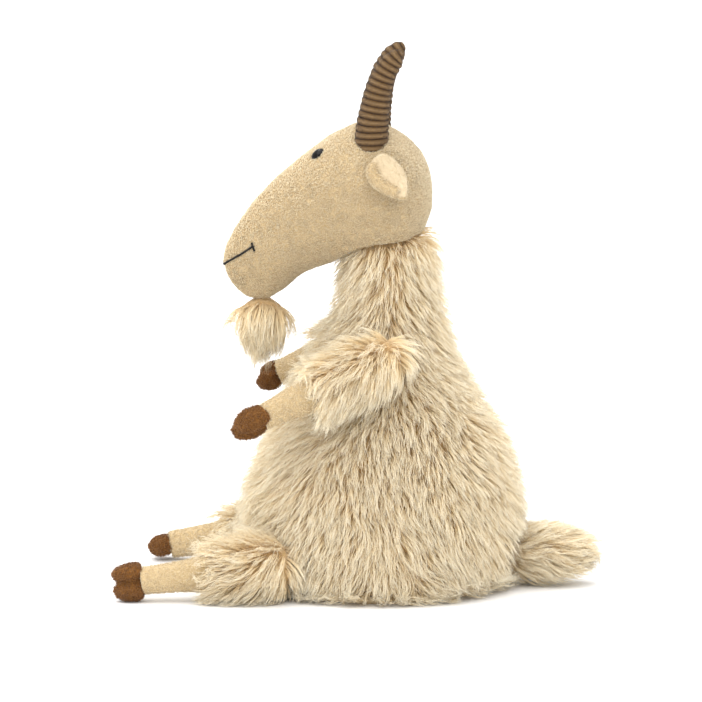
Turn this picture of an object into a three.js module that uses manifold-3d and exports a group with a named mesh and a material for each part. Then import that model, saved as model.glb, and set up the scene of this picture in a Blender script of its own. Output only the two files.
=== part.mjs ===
// A seated plush goat: long-pile torso, sleeves, thighs, tail and beard, a short-pile head,
// forearms and shins, brown two-toed hooves, ribbed corduroy horns and leaf ears.
// Millimetres, +Z up. The goat faces -Y, its left side is +X, and it sits on the plane z = 0.
import * as THREE from "three";
import { mergeVertices } from "three/addons/utils/BufferGeometryUtils.js";
import Module from "manifold-3d";

const wasm = await Module();
wasm.setup();

// Driving dimensions.
const SEAM = 0.3; // gap between two sewn pieces
const LONG_PILE = 6; // torso fabric with its fur pressed down
const LIMB_PILE = 4; // sleeve, thigh and tail fabric with its fur pressed down
const SHORT_PILE = 2; // head, forearm and shin fabric
const CORDUROY = 1.5;
const LEAF = 1.3; // one layer of an ear
const BASE_THICKNESS = 3;
const NECK_PIVOT = new THREE.Vector3(0, 19.2, 170.1);
const NECK_RADIUS = 29.7; // the rounded top of the neck, which the head turns on
const HEAD_SOCKET_RADIUS = 30.1;
const GUSSET_HALF_WIDTH = 7;
const HIP_RADIUS = 15.5;
const SHOULDER_RADIUS = 13;
const TAIL_RADIUS = 11;
const SOCKET_GAP = 0.8; // room round a limb's round root
const TAIL_GAP = 1.8;
const FLANK_SLOPE = THREE.MathUtils.degToRad(20); // how far the flank leans from upright
const EYE_RADIUS = 3.3;
const EYE_CLEARANCE = 0.4; // room round a shank and round a washer
const EYE_HOLE_LENGTH = 20;
const EYE_POCKET_LENGTH = 16;
const SHANK_RADIUS = 1.2;
const SHANK_LENGTH = 7;
const WASHER_RADIUS = 4.6;
const WASHER_DEPTH = 3.6; // from the head's surface to the washer
const WASHER_THICKNESS = 1;
const THREAD_RADIUS = 0.5;

const FUR = { color: 0xd8c39c, roughness: 0.95, metalness: 0 };
const PLUSH = { color: 0xdcc39a, roughness: 0.9, metalness: 0 };
const HOOF = { color: 0x744a20, roughness: 0.9, metalness: 0 };
const HORN = { color: 0x6f5436, roughness: 0.85, metalness: 0 };
const STUFFING = { color: 0xf4f1ea, roughness: 1, metalness: 0 };
const BEANS = { color: 0xe6dcc4, roughness: 0.8, metalness: 0 };
const GLOSS_BLACK = { color: 0x120d0a, roughness: 0.08, metalness: 0 };
const WASHER = { color: 0xe9e9e6, roughness: 0.5, metalness: 0 };
const THREAD = { color: 0x1a1512, roughness: 0.7, metalness: 0 };

const goat = new THREE.Group();

const point = (x, y, z) => new THREE.Vector3(x, y, z);

// ---- solids -------------------------------------------------------------------------------

function bare(geometry) {
  const positions = new THREE.BufferGeometry();
  positions.setAttribute("position", geometry.getAttribute("position"));
  positions.setIndex(geometry.index);
  return mergeVertices(positions, 1e-4);
}

function solidOf(geometry) {
  const merged = bare(geometry);
  return new wasm.Manifold(
    new wasm.Mesh({
      numProp: 3,
      vertProperties: merged.attributes.position.array,
      triVerts: new Uint32Array(merged.index.array),
    }),
  );
}

function geometryOf(solid) {
  const mesh = solid.getMesh();
  const geometry = new THREE.BufferGeometry();
  geometry.setAttribute("position", new THREE.BufferAttribute(mesh.vertProperties, 3));
  geometry.setIndex(new THREE.BufferAttribute(mesh.triVerts, 1));
  geometry.computeVertexNormals();
  return geometry;
}

function addPiece(parent, name, shape, finish) {
  const geometry = shape.isBufferGeometry ? shape : geometryOf(shape);
  const piece = new THREE.Mesh(geometry, new THREE.MeshStandardMaterial(finish));
  piece.name = name;
  parent.add(piece);
  return piece;
}

// Moves every vertex inwards along its normal; a negative depth swells the shape.
function inset(geometry, depth) {
  const shrunk = bare(geometry);
  shrunk.computeVertexNormals();
  const at = shrunk.getAttribute("position");
  const normal = shrunk.getAttribute("normal");
  for (let i = 0; i < at.count; i += 1) {
    at.setXYZ(
      i,
      at.getX(i) - normal.getX(i) * depth,
      at.getY(i) - normal.getY(i) * depth,
      at.getZ(i) - normal.getZ(i) * depth,
    );
  }
  return shrunk;
}

// A closed form lofted between two poles. Each row is [half width, y, z] on the first side of
// the outline, then [y, z] of the point opposite; the sections between them are ellipses.
function loft(startPole, rows, endPole, around, along) {
  const first = rows.map(([w, y, z]) => point(w, y, z));
  const second = rows.map(([w, , , y, z]) => point(-w, y, z)).reverse();
  const ring = [point(0, ...startPole), ...first, point(0, ...endPole), ...second];
  const outline = new THREE.CatmullRomCurve3(ring, true, "catmullrom", 0.5);
  const geometry = new THREE.SphereGeometry(1, around, along);
  const at = geometry.getAttribute("position");
  for (let i = 0; i < at.count; i += 1) {
    const latitude = Math.acos(THREE.MathUtils.clamp(at.getY(i), -1, 1)) / Math.PI;
    const turn = Math.atan2(at.getZ(i), at.getX(i));
    const a = outline.getPoint(latitude / 2);
    const b = outline.getPoint((1 - latitude / 2) % 1);
    const halfWidth = (a.x - b.x) / 2;
    at.setXYZ(
      i,
      halfWidth * Math.sin(turn),
      (a.y + b.y) / 2 + ((a.y - b.y) / 2) * Math.cos(turn),
      (a.z + b.z) / 2 + ((a.z - b.z) / 2) * Math.cos(turn),
    );
  }
  return geometry;
}

function block(low, high) {
  const size = high.clone().sub(low);
  const middle = high.clone().add(low).multiplyScalar(0.5);
  return new THREE.BoxGeometry(size.x, size.y, size.z).translate(middle.x, middle.y, middle.z);
}

const FAR = 400;
const halfSpaceLeft = (gap) => solidOf(block(point(gap, -FAR, -FAR), point(FAR, FAR, FAR)));
const halfSpaceRight = (gap) => solidOf(block(point(-FAR, -FAR, -FAR), point(-gap, FAR, FAR)));
const slab = (low, high) => solidOf(block(point(-FAR, -FAR, low), point(FAR, FAR, high)));

function ball(centre, radius, around = 14, along = 10) {
  const sphere = new THREE.SphereGeometry(radius, around, along);
  return solidOf(sphere.translate(centre.x, centre.y, centre.z));
}

// ---- limbs --------------------------------------------------------------------------------

// A limb runs along its own +Y from a round root at the origin: a long-pile cover, a
// short-pile cover and a hoof, over one core of stuffing. Local +X is across its two toes.
const ARM = {
  root: SHOULDER_RADIUS,
  coverNames: ["fur_sleeve", "forearm"],
  coverEnd: 42,
  hoofStart: 70,
  radii: [[10, 13.4], [25, 13.2], [38, 12], [50, 10.6], [62, 8.8], [74, 7.8]],
  end: 84,
  toe: { across: 5.3, along: 9.8, thick: 8.7, apart: 4.6 },
};
const LEG = {
  root: HIP_RADIUS,
  coverNames: ["fur_thigh", "shin"],
  coverEnd: 36,
  hoofStart: 71,
  radii: [[10, 15.5], [22, 14.6], [34, 12.2], [48, 10], [62, 9], [76, 8.6]],
  end: 86,
  toe: { across: 5.9, along: 9, thick: 7.4, apart: 5 },
};

const TOE_REACH = 0.62; // of a toe's half length, from the hoof's seam to the toe's middle
const TOE_SPLAY = 0.1; // radians each toe leans outwards
function hoof(toe, start, stretch) {
  const toes = [-1, 1].map((side) => {
    const lobe = new THREE.SphereGeometry(1, 10, 6).scale(toe.across, toe.along, toe.thick);
    const reach = start * stretch + toe.along * TOE_REACH;
    return solidOf(lobe.rotateZ(side * TOE_SPLAY).translate(side * toe.apart, reach, 0));
  });
  const front = block(point(-FAR, start * stretch + SEAM / 2, -FAR), point(FAR, FAR, FAR));
  return toes[0].add(toes[1]).intersect(solidOf(front));
}

// A ring round a ball, behind its middle, as shares of the ball's radius.
const ROOT_RING = { wide: 0.8, behind: 0.6 };
const SHORT_PILE_STEP = 1; // how far the short pile lies below the tips of the fur
function buildLimb(group, prefix, kind, stretch, hoofRoll) {
  const rows = kind.radii.map(([d, r]) => [r, d * stretch, r, d * stretch, -r]);
  const wide = kind.root * ROOT_RING.wide;
  const behind = -kind.root * ROOT_RING.behind;
  rows.unshift([wide, behind, wide, behind, -wide]);
  const outer = loft([-kind.root, 0], rows, [kind.end * stretch, 0], 10, 8);
  const between = (from, to) => solidOf(block(point(-FAR, from, -FAR), point(FAR, to, FAR)));
  const coverEnd = kind.coverEnd * stretch;
  const hoofStart = kind.hoofStart * stretch;
  const half = SEAM / 2;
  const outside = solidOf(outer);
  const fur = outside
    .subtract(solidOf(inset(outer, LIMB_PILE)))
    .intersect(between(-FAR, coverEnd - half));
  const short = outside
    .subtract(solidOf(inset(outer, SHORT_PILE + SHORT_PILE_STEP)))
    .intersect(solidOf(inset(outer, SHORT_PILE_STEP)))
    .intersect(between(coverEnd + half, hoofStart - half));
  const core = solidOf(inset(outer, LIMB_PILE + SEAM)).intersect(between(-FAR, hoofStart - half));
  addPiece(group, `${prefix}_${kind.coverNames[0]}`, fur, FUR);
  addPiece(group, `${prefix}_${kind.coverNames[1]}`, short, PLUSH);
  addPiece(group, `${prefix}_stuffing`, core, STUFFING);
  const foot = addPiece(group, `${prefix}_hoof`, hoof(kind.toe, kind.hoofStart, stretch), HOOF);
  foot.rotation.y = hoofRoll;
}

// Points a limb's own +Y along a direction, with its own +X on the outward side.
function placeLimb(group, pivot, direction, outward) {
  const along = direction.clone().normalize();
  const down = outward.clone().cross(along).normalize();
  const across = along.clone().cross(down);
  group.quaternion.setFromRotationMatrix(new THREE.Matrix4().makeBasis(across, along, down));
  group.position.copy(pivot);
  goat.add(group);
}

// Shoulders sit on the sloping flanks; an arm turns in the plane of its flank.
const SHOULDER = { x: 46.2, y: 18, z: 132.8 };
const ARM_DROP = { left: 26.5, right: 25 }; // degrees below level at rest
const ARM_STRETCH = { left: 1.03, right: 0.98 };
const ARM_HOOF_ROLL = { left: 0.25, right: -0.25 };
for (const side of [1, -1]) {
  const name = side > 0 ? "left" : "right";
  const group = new THREE.Group();
  buildLimb(group, `${name}_arm`, ARM, ARM_STRETCH[name], ARM_HOOF_ROLL[name]);
  const outward = point(side * Math.cos(FLANK_SLOPE), 0, Math.sin(FLANK_SLOPE));
  const downFlank = point(side * Math.sin(FLANK_SLOPE), 0, -Math.cos(FLANK_SLOPE));
  const drop = THREE.MathUtils.degToRad(ARM_DROP[name]);
  const direction = point(0, -Math.cos(drop), 0).addScaledVector(downFlank, Math.sin(drop));
  placeLimb(group, point(side * SHOULDER.x, SHOULDER.y, SHOULDER.z), direction, outward);
}

// Hips sit in hollows at the front corners of the seat; the legs lie forward on the floor.
const HIP = { left: point(48, -42, 19.5), right: point(-51, -40, 19) };
const LEG_SPLAY = { left: 4, right: 2 }; // degrees outwards
const LEG_DROP = { left: 6.2, right: 8.8 }; // degrees below level
const LEG_STRETCH = { left: 1, right: 0.92 };
const LEG_HOOF_ROLL = { left: Math.PI / 2, right: 0.1 };
for (const side of [1, -1]) {
  const name = side > 0 ? "left" : "right";
  const group = new THREE.Group();
  buildLimb(group, `${name}_leg`, LEG, LEG_STRETCH[name], LEG_HOOF_ROLL[name]);
  const splay = THREE.MathUtils.degToRad(LEG_SPLAY[name]) * side;
  const drop = THREE.MathUtils.degToRad(LEG_DROP[name]);
  const direction = point(Math.sin(splay), -Math.cos(splay), -Math.sin(drop));
  placeLimb(group, HIP[name], direction, point(side, 0, 0));
}

// Tail: a fur stub pointing back.
const TAIL_PIVOT = point(0, 88.5, 19);
const tailGroup = new THREE.Group();
tailGroup.position.copy(TAIL_PIVOT);
goat.add(tailGroup);
const tailRows = [
  [9, -7, 9, -7, -9],
  [11, 7, 10.8, 7, -11.2],
  [11, 20, 11, 20, -11],
  [7, 32, 7.5, 32, -6.5],
];
const tailOuter = loft([-TAIL_RADIUS, 0], tailRows, [38.5, 0.5], 10, 7);
const TAIL_OPENING = -TAIL_RADIUS + LIMB_PILE + 2; // where the cover ends, inside the seat's hollow
const tailOpen = solidOf(block(point(-FAR, TAIL_OPENING, -FAR), point(FAR, FAR, FAR)));
addPiece(
  tailGroup,
  "tail_fur_cover",
  solidOf(tailOuter).subtract(solidOf(inset(tailOuter, LIMB_PILE))).intersect(tailOpen),
  FUR,
);
addPiece(tailGroup, "tail_stuffing", solidOf(inset(tailOuter, LIMB_PILE + SEAM)), STUFFING);

// ---- torso --------------------------------------------------------------------------------

const torsoRows = [
  [50, -40, -6, 68, -6],
  [60, -56, 10, 84, 10],
  [60, -58, 38, 88, 38],
  [55, -50, 66, 83, 66],
  [45, -37, 95, 70, 95],
  [35, -26, 120, 54, 120],
  [27, -11, 142, 48, 142],
  [24, -6, 161, 43, 161],
  [22, -3, 182, 41, 182],
  [20, -1, 203, 39, 203],
];
const torsoOuter = loft([14, -14], torsoRows, [19.5, 222], 18, 12);
const NECK_ROUNDING_START = 165; // height above which the neck is the ball the head turns on
const neckRoom = slab(-FAR, NECK_ROUNDING_START).add(ball(NECK_PIVOT, NECK_RADIUS, 18, 12));
const sockets = [
  ball(HIP.left, HIP_RADIUS + SOCKET_GAP),
  ball(HIP.right, HIP_RADIUS + SOCKET_GAP),
  ball(TAIL_PIVOT, TAIL_RADIUS + TAIL_GAP),
];
const clearOfLimbs = (solid) => sockets.reduce((rest, socket) => rest.subtract(socket), solid);
const torsoSolid = clearOfLimbs(solidOf(torsoOuter).intersect(neckRoom));
const torsoShell = torsoSolid
  .subtract(solidOf(inset(torsoOuter, LONG_PILE)))
  .intersect(slab(BASE_THICKNESS + SEAM, FAR));
addPiece(goat, "torso_left_panel", torsoShell.intersect(halfSpaceLeft(SEAM / 2)), FUR);
addPiece(goat, "torso_right_panel", torsoShell.intersect(halfSpaceRight(SEAM / 2)), FUR);
addPiece(goat, "base_panel", torsoSolid.intersect(slab(0, BASE_THICKNESS)), PLUSH);

// The bean bag lies flat on the base panel, under the stuffing.
const beanBag = new THREE.SphereGeometry(1, 14, 8).scale(36, 46, 17).translate(0, 15, 9);
const aboveBase = slab(BASE_THICKNESS + SEAM, FAR);
addPiece(goat, "bean_bag", solidOf(beanBag).intersect(aboveBase), BEANS);
addPiece(
  goat,
  "torso_stuffing",
  clearOfLimbs(solidOf(inset(torsoOuter, LONG_PILE + SEAM)).intersect(neckRoom))
    .intersect(aboveBase)
    .subtract(solidOf(inset(beanBag, -SEAM))),
  STUFFING,
);

// ---- head ---------------------------------------------------------------------------------

const headRows = [
  [10, -68.8, 188, -65, 162.5],
  [16.5, -59, 205, -51, 156],
  [20, -43, 223, -37.5, 162.5],
  [24.5, -23.5, 239, -23, 174],
  [30, -3, 252.6, -3, 178],
  [32.5, 16, 253, 17, 178],
  [27.5, 32, 242.5, 33, 188],
  [14, 39.5, 230.5, 41, 203],
];
const headOuter = loft([-72, 177], headRows, [42, 217], 18, 12);
const headSurface = new THREE.Mesh(headOuter, new THREE.MeshStandardMaterial({ side: THREE.DoubleSide }));

// The point where a ray from inside the head leaves it, and the way out along its normal.
// The start is a hair off the middle plane, where an edge of the mesh would let the ray pass.
function onHead(from, towards) {
  const start = from.clone().add(point(0.003, 0, 0));
  const ray = new THREE.Raycaster(start, towards.clone().sub(from).normalize());
  const hit = ray.intersectObject(headSurface)[0];
  return { at: hit.point, out: hit.face.normal.clone() };
}

const headClear = solidOf(inset(headOuter, -SEAM));
const neckSocket = ball(NECK_PIVOT, HEAD_SOCKET_RADIUS, 18, 12);
const headShell = solidOf(headOuter)
  .subtract(solidOf(inset(headOuter, SHORT_PILE)))
  .subtract(neckSocket);

// The gusset runs up over the muzzle and forehead and down to the nape. Its lower limit is a
// plane that rises from the muzzle to the nape.
const GUSSET_LIMIT = { y: -15, z: 192, rise: 28, run: 114 };
const GUSSET_REACH = 100;
function gussetZone(margin) {
  const zone = block(
    point(-GUSSET_HALF_WIDTH - margin, -GUSSET_REACH, -margin),
    point(GUSSET_HALF_WIDTH + margin, GUSSET_REACH, GUSSET_REACH),
  );
  const tilt = Math.atan2(GUSSET_LIMIT.rise, GUSSET_LIMIT.run);
  return solidOf(zone.rotateX(tilt).translate(0, GUSSET_LIMIT.y, GUSSET_LIMIT.z));
}
addPiece(goat, "head_gusset", headShell.intersect(gussetZone(0)), PLUSH);
const cheeks = headShell.subtract(gussetZone(SEAM));

// Safety eyes: a dome outside, a shank through the panel and a lock washer inside.
const EYE_RIM = 0.35; // the dome's flat back stands this far off the head
const eyeProfile = [
  [0, 2.3], [1.4, 2.05], [2.5, 1.35], [EYE_RADIUS, EYE_RIM], [SHANK_RADIUS, EYE_RIM],
  [SHANK_RADIUS, -SHANK_LENGTH], [0, -SHANK_LENGTH],
];
const bore = SHANK_RADIUS + SEAM;
const washerBack = WASHER_DEPTH + WASHER_THICKNESS;
const washerProfile = [
  [bore, -washerBack], [bore, -WASHER_DEPTH], [WASHER_RADIUS, -WASHER_DEPTH],
  [WASHER_RADIUS, -washerBack], [bore, -washerBack],
];
const lathe = (profile, segments) =>
  new THREE.LatheGeometry(profile.map(([r, h]) => new THREE.Vector2(r, h)).reverse(), segments);
const EYE = { x: 12, y: -19.5, z: 238.6 };
const eyeHoles = [];
const eyePockets = [];
for (const side of [1, -1]) {
  const name = side > 0 ? "left" : "right";
  const { at, out } = onHead(point(0, -22, 220), point(side * EYE.x, EYE.y, EYE.z));
  const group = new THREE.Group();
  group.position.copy(at);
  group.quaternion.setFromUnitVectors(point(0, 1, 0), out);
  goat.add(group);
  addPiece(group, `eye_${name}`, lathe(eyeProfile, 12), GLOSS_BLACK);
  addPiece(group, `eye_washer_${name}`, lathe(washerProfile, 12), WASHER);
  group.updateMatrixWorld(true);
  const holeRadius = SHANK_RADIUS + EYE_CLEARANCE;
  const pocketRadius = WASHER_RADIUS + EYE_CLEARANCE;
  const hole = new THREE.CylinderGeometry(holeRadius, holeRadius, EYE_HOLE_LENGTH, 12);
  const pocket = new THREE.CylinderGeometry(pocketRadius, pocketRadius, EYE_POCKET_LENGTH, 14);
  eyeHoles.push(solidOf(hole.applyMatrix4(group.matrixWorld)));
  eyePockets.push(solidOf(pocket.applyMatrix4(group.matrixWorld)));
}
const openCheeks = eyeHoles.reduce((rest, hole) => rest.subtract(hole), cheeks);
addPiece(goat, "head_left_panel", openCheeks.intersect(halfSpaceLeft(SEAM / 2)), PLUSH);
addPiece(goat, "head_right_panel", openCheeks.intersect(halfSpaceRight(SEAM / 2)), PLUSH);
addPiece(
  goat,
  "head_stuffing",
  eyePockets.reduce(
    (rest, pocket) => rest.subtract(pocket),
    solidOf(inset(headOuter, SHORT_PILE + SEAM)).subtract(neckSocket),
  ),
  STUFFING,
);

// Mouth: one thread round the muzzle in a tilted plane, with a short stitch across each end.
const threadSection = () => {
  const circle = new THREE.Shape();
  circle.absarc(0, 0, THREAD_RADIUS, 0, Math.PI * 2);
  return circle;
};
function threadAlong(points, steps) {
  const path = new THREE.CatmullRomCurve3(points);
  const options = { steps, curveSegments: 3, extrudePath: path, bevelEnabled: false };
  return solidOf(new THREE.ExtrudeGeometry(threadSection(), options));
}
const mouthCentre = point(0, -53.6, 187.9);
const mouthForward = point(0, -18.4, -11.9).normalize();
const MOUTH_LIFT = THREAD_RADIUS + SEAM + 0.15; // clears the head between two points of the thread
const MOUTH_STEP = 15; // degrees
const mouthPoints = [];
for (let degrees = -90; degrees <= 90; degrees += MOUTH_STEP) {
  const turn = THREE.MathUtils.degToRad(degrees);
  const way = point(Math.sin(turn), 0, 0).addScaledVector(mouthForward, Math.cos(turn));
  const { at, out } = onHead(mouthCentre, mouthCentre.clone().add(way));
  mouthPoints.push(at.addScaledVector(out, MOUTH_LIFT));
}
const CROSS_STITCH = point(0, 0.45, 1.35); // half of the short stitch
const CROSS_STITCH_LIFT = 0.25;
let mouth = threadAlong(mouthPoints, 24);
for (const end of [mouthPoints[0], mouthPoints[mouthPoints.length - 1]]) {
  const middle = end.clone().add(point(Math.sign(end.x) * CROSS_STITCH_LIFT, 0, 0));
  const ends = [middle.clone().sub(CROSS_STITCH), middle, middle.clone().add(CROSS_STITCH)];
  mouth = mouth.add(threadAlong(ends, 4));
}
addPiece(goat, "mouth_thread", mouth, THREAD);

// Horns: stout, curving back, their open bases resting on the crown.
const HORN_X = 15;
const hornRows = [
  [8.4, 1.5, 240, 18.8, 240],
  [9, 0.5, 249, 18.7, 249],
  [8.2, 3.5, 264, 19.6, 264],
  [7.4, 7.6, 278, 21.6, 277],
  [6.4, 13.6, 289, 25.6, 285],
  [4, 20.8, 294.6, 28.8, 290.6],
];
for (const side of [1, -1]) {
  const name = side > 0 ? "left" : "right";
  const outer = loft([10, 233], hornRows, [28.4, 294], 12, 8).translate(side * HORN_X, 0, 0);
  const core = inset(outer, CORDUROY);
  const cover = solidOf(outer).subtract(solidOf(core)).subtract(headClear);
  addPiece(goat, `horn_${name}_cover`, cover, HORN);
  const filling = solidOf(inset(outer, CORDUROY + SEAM)).subtract(headClear);
  addPiece(goat, `horn_${name}_stuffing`, filling, STUFFING);
}

// Ears: two leaves sewn edge to edge, cupped downwards, drooping out and back.
const EAR_LENGTH = 31;
const EAR_HALF_WIDTH = 10.5;
const EAR_CUP = 0.03; // fall of the edges per square millimetre across
const EAR_RIM = 0.6; // half width left at the root and the tip
const EAR_LIFT = 1.5; // of the root off the head, so that the ear can flap
// The outline: a lower skew puts the widest place nearer the root, a lower power rounds the ends.
const EAR_SKEW = 0.72;
const EAR_POWER = 0.8;
const EAR_LEVEL = 1; // of the seam between the two leaves, above the line of the root
function leaf(level) {
  const shape = new THREE.SphereGeometry(1, 12, 8);
  const at = shape.getAttribute("position");
  for (let i = 0; i < at.count; i += 1) {
    const along = (1 - at.getY(i)) / 2;
    const swell = Math.sin(Math.PI * along ** EAR_SKEW) ** EAR_POWER;
    const width = EAR_HALF_WIDTH * swell + EAR_RIM;
    const ring = Math.hypot(at.getX(i), at.getZ(i));
    const onRim = ring > 0.01 ? 1 / ring : 0;
    const across = -at.getX(i) * onRim * width;
    const thick = at.getZ(i) * onRim * (LEAF / 2);
    at.setXYZ(i, across, 1 + along * EAR_LENGTH, level + thick - EAR_CUP * across * across);
  }
  return shape;
}
for (const side of [1, -1]) {
  const name = side > 0 ? "left" : "right";
  const { at } = onHead(point(0, 14, 222), point(side * 32, 14, 243));
  const along = point(side * 0.6, 0.47, -0.645).normalize();
  const outward = point(side * 0.731, 0, 0.68);
  const group = new THREE.Group();
  const across = along.clone().cross(outward).normalize();
  group.quaternion.setFromRotationMatrix(
    new THREE.Matrix4().makeBasis(across, along, across.clone().cross(along)),
  );
  group.position.copy(at).addScaledVector(outward, EAR_LIFT);
  goat.add(group);
  const layer = (LEAF + SEAM) / 2;
  addPiece(group, `ear_${name}_outer`, leaf(EAR_LEVEL + layer), PLUSH);
  addPiece(group, `ear_${name}_lining`, leaf(EAR_LEVEL - layer), PLUSH);
}

// Beard: a tuft that hangs under the chin from a small round root.
const beardRows = [
  [4.6, -44.6, 151, -55.4, 151],
  [6.8, -38.6, 143.5, -61.4, 143.5],
  [7, -38, 136, -61, 136],
  [5, -42, 127, -57, 127],
];
addPiece(goat, "beard", loft([-50, 155.4], beardRows, [-49, 120.5], 12, 9), FUR);

goat.updateMatrixWorld(true);
export default goat;
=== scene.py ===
"""Seated plush goat: every sewn piece of it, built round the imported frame.

Lengths are metres in the frame's own axes. The goat faces -Y, its left side is +X and +Z is up.
"""

import math

import bpy
import numpy as np
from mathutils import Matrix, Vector, noise
from mathutils.bvhtree import BVHTree
from mathutils.kdtree import KDTree


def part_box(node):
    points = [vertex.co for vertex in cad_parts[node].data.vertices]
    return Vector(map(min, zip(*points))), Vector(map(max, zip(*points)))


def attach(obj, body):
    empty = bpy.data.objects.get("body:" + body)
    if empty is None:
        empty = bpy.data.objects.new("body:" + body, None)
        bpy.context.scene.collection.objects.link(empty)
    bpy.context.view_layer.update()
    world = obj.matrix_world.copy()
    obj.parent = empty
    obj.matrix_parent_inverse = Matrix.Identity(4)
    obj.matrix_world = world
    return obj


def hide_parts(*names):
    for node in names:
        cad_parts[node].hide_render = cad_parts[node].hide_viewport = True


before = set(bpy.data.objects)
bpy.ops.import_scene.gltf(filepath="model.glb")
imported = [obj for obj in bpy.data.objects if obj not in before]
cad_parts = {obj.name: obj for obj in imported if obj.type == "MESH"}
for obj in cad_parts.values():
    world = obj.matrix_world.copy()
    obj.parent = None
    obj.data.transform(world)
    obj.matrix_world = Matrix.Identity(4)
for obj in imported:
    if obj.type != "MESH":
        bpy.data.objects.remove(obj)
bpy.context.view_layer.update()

MM = 0.001
SIDES = ("left", "right")
WELD = 0.02 * MM
SEAM_FUSE = 0.5 * MM
FLOOR_CLEARANCE = 0.4 * MM
NEARBY = 14 * MM
STRAND_SIDES = 3
PIECE_TRIANGLES = 190_000
FUR_MAP = "OFBake"
MAP_MARGIN = 0.98  # the share of its map that a horn's wales run over
TAUBIN_FACTORS = (0.5, -0.52)  # shrink, then swell back
FLAT_UNDERSIDE = -0.7  # a normal whose Z is lower than this belongs to a face that sits on the floor


# ---------------------------------------------------------------- mesh arrays


def coordinates(mesh):
    """Vertex positions of a mesh as rows of three numbers."""
    found = np.empty(len(mesh.vertices) * 3)
    mesh.vertices.foreach_get("co", found)
    return found.reshape(-1, 3)


def triangles(mesh):
    """Corner indices of a mesh's triangles."""
    mesh.calc_loop_triangles()
    found = np.empty(len(mesh.loop_triangles) * 3, np.int32)
    mesh.loop_triangles.foreach_get("vertices", found)
    return found.reshape(-1, 3)


def quads(mesh):
    """Corner indices of a mesh made only of four-sided faces."""
    found = np.empty(len(mesh.loops), np.int32)
    mesh.loops.foreach_get("vertex_index", found)
    return found.reshape(-1, 4)


def unit(rows):
    """Each row at length one."""
    length = np.linalg.norm(rows, axis=-1, keepdims=True)
    return rows / np.maximum(length, 1e-12)


def vertex_normals(co, tri):
    """Area-weighted normal of each vertex."""
    face = np.cross(co[tri[:, 1]] - co[tri[:, 0]], co[tri[:, 2]] - co[tri[:, 0]])
    total = np.zeros_like(co)
    for corner in range(3):
        for axis in range(3):
            total[:, axis] += np.bincount(tri[:, corner], face[:, axis], len(co))
    return unit(total)


def split_quads(faces):
    """Four-sided faces as triangles."""
    return np.concatenate([faces[:, [0, 1, 2]], faces[:, [0, 2, 3]]])


def mesh_object(name, co, faces, material=None, uv=None):
    """A smooth-shaded object from positions and equal-sided faces. uv has a row for each face corner."""
    mesh = bpy.data.meshes.new(name)
    sides = faces.shape[1]
    mesh.vertices.add(len(co))
    mesh.vertices.foreach_set("co", np.ascontiguousarray(co, np.float32).ravel())
    mesh.loops.add(faces.size)
    mesh.loops.foreach_set("vertex_index", np.ascontiguousarray(faces, np.int32).ravel())
    mesh.polygons.add(len(faces))
    mesh.polygons.foreach_set("loop_start", np.arange(0, faces.size, sides, dtype=np.int32))
    mesh.polygons.foreach_set("use_smooth", np.ones(len(faces), bool))
    if uv is not None:
        layer = mesh.uv_layers.new(name=FUR_MAP)
        layer.data.foreach_set("uv", np.ascontiguousarray(uv, np.float32).ravel())
    mesh.update(calc_edges=True)
    if material is not None:
        mesh.materials.append(material)
    made = bpy.data.objects.new(name, mesh)
    bpy.context.scene.collection.objects.link(made)
    return made


def evaluated_mesh(obj):
    """A new mesh with obj's modifiers applied."""
    bpy.context.view_layer.update()
    graph = bpy.context.evaluated_depsgraph_get()
    return bpy.data.meshes.new_from_object(obj.evaluated_get(graph))


def discard(obj):
    """Removes a helper object and its mesh."""
    mesh = obj.data
    bpy.data.objects.remove(obj)
    bpy.data.meshes.remove(mesh)


def welded(co, tri):
    """The same surface with coincident vertices merged."""
    _, first, place = np.unique(
        np.round(co / WELD).astype(np.int64), axis=0, return_index=True, return_inverse=True
    )
    merged = place.ravel()[tri]
    whole = (
        (merged[:, 0] != merged[:, 1]) & (merged[:, 1] != merged[:, 2]) & (merged[:, 0] != merged[:, 2])
    )
    return co[first], merged[whole]


def joined(parts):
    """Several surfaces as one array of positions and one of faces."""
    places, faces, start = [], [], 0
    for co, some in parts:
        places.append(co)
        faces.append(some + start)
        start += len(co)
    return np.concatenate(places), np.concatenate(faces)


def cad_solid(nodes, grow=0.0):
    """The solids of these CAD nodes as one surface, pushed out by grow."""
    parts = []
    for node in nodes:
        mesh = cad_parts[node].data
        co, tri = welded(coordinates(mesh), triangles(mesh))
        parts.append((co + grow * vertex_normals(co, tri), tri))
    return joined(parts)


def main_island(co, faces):
    """The part of the surface that holds its highest vertex, without loose inner shells."""
    label = np.arange(len(co))
    while True:
        before = label.copy()
        low = label[faces].min(1)
        for corner in range(faces.shape[1]):
            np.minimum.at(label, faces[:, corner], low)
        label = label[label]
        if (label == before).all():
            break
    kept = label == label[co[:, 2].argmax()]
    number = np.cumsum(kept) - 1
    return co[kept], number[faces[kept[faces[:, 0]]]]


def smoothed(co, faces, rounds):
    """Taubin smoothing, which rounds off facets and keeps the volume."""
    ring = [faces[:, [k, (k + 1) % faces.shape[1]]] for k in range(faces.shape[1])]
    edges = np.unique(np.sort(np.concatenate(ring), axis=1), axis=0)
    here = np.concatenate([edges[:, 0], edges[:, 1]])
    there = np.concatenate([edges[:, 1], edges[:, 0]])
    degree = np.maximum(np.bincount(here, minlength=len(co)), 1)
    for factor in TAUBIN_FACTORS * rounds:
        mean = np.stack([np.bincount(here, co[there, k], len(co)) / degree for k in range(3)], axis=1)
        co = co + factor * (mean - co)
    return co


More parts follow.
